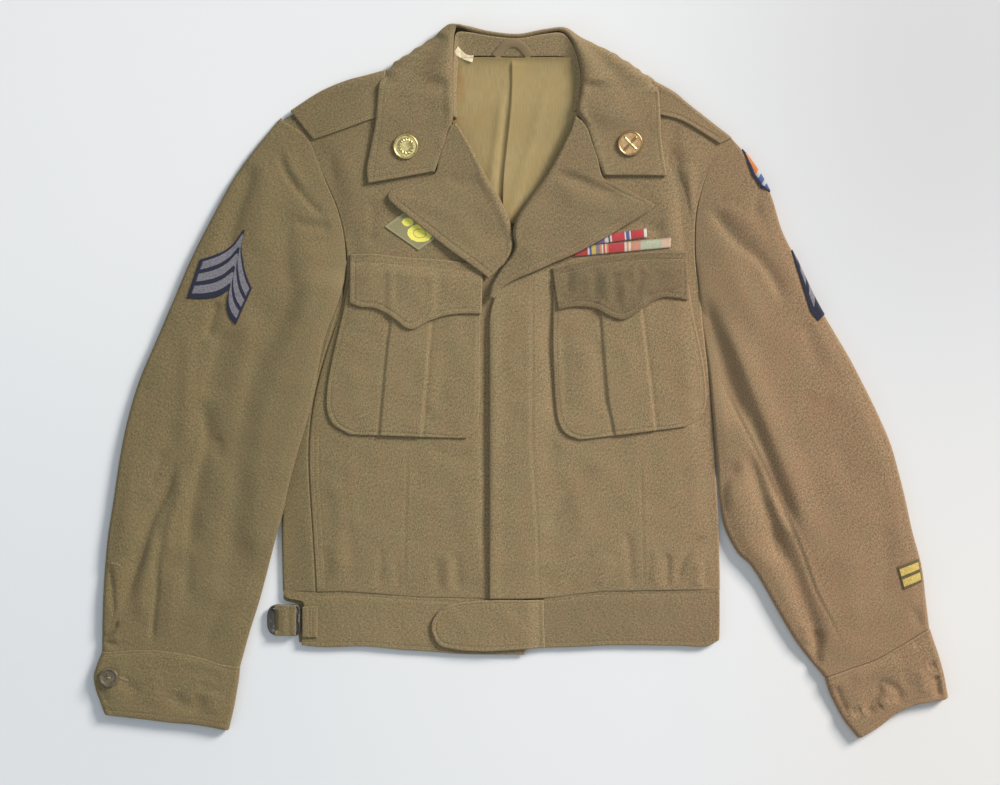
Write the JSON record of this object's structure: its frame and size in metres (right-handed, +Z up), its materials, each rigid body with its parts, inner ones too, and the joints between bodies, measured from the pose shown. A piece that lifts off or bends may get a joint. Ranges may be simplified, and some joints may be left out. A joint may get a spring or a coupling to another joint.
{
  "type": "waist-length wool uniform jacket",
  "caption": "Waist-length wool uniform jacket laid flat on its back, with notched lapels, flapped chest pockets, shoulder straps and a buckled waistband.",
  "frame": {"origin": "centre of the laid garment's outline, on the surface it rests on", "axes": "+X toward the wearer's left cuff, +Y toward the collar, +Z up from the surface, out of the front"},
  "size_m": [0.8553, 0.7143, 0.0195],
  "materials": {
    "wool": "heathered olive-brown wool serge, matte",
    "lining": "brown twill lining, matte",
    "brass": "satin",
    "blackened_metal": "blackened, semi-gloss",
    "button": "olive-brown moulded, semi-gloss",
    "ribbon": "ribbed silk ribbon in stripes of several colours",
    "patch": "embroidered wool and thread, matte",
    "label": "cream woven cotton, matte"
  },
  "bodies": {
    "root": {"back": "wool", "buckle": "blackened_metal", "buckle_keeper": "wool", "buckle_strap": "wool", "chevrons_left": "patch", "chevrons_right": "patch", "collar": "wool", "collar_disc_left": "brass", "collar_disc_right": "brass", "collar_stand": "wool", "cuff_button_right": "button", "cuff_left": "wool", "cuff_right": "wool", "diamond_patch": "patch", "front_left": "wool", "front_right": "wool", "hanger_loop": "lining", "lapel_left": "wool", "lapel_right": "wool", "neck_label": "label", "neck_lining": "lining", "pocket_flap_left": "wool", "pocket_flap_right": "wool", "pocket_left": "wool", "pocket_right": "wool", "ribbon_bar_lower": "ribbon", "ribbon_bar_upper": "ribbon", "service_bars": "patch", "shoulder_patch": "patch", "shoulder_strap_left": "wool", "shoulder_strap_right": "wool", "sleeve_left": "wool", "sleeve_right": "wool", "waist_tab": "wool", "waistband_back": "wool", "waistband_left": "wool", "waistband_right": "wool"}
  },
  "joints": []
}
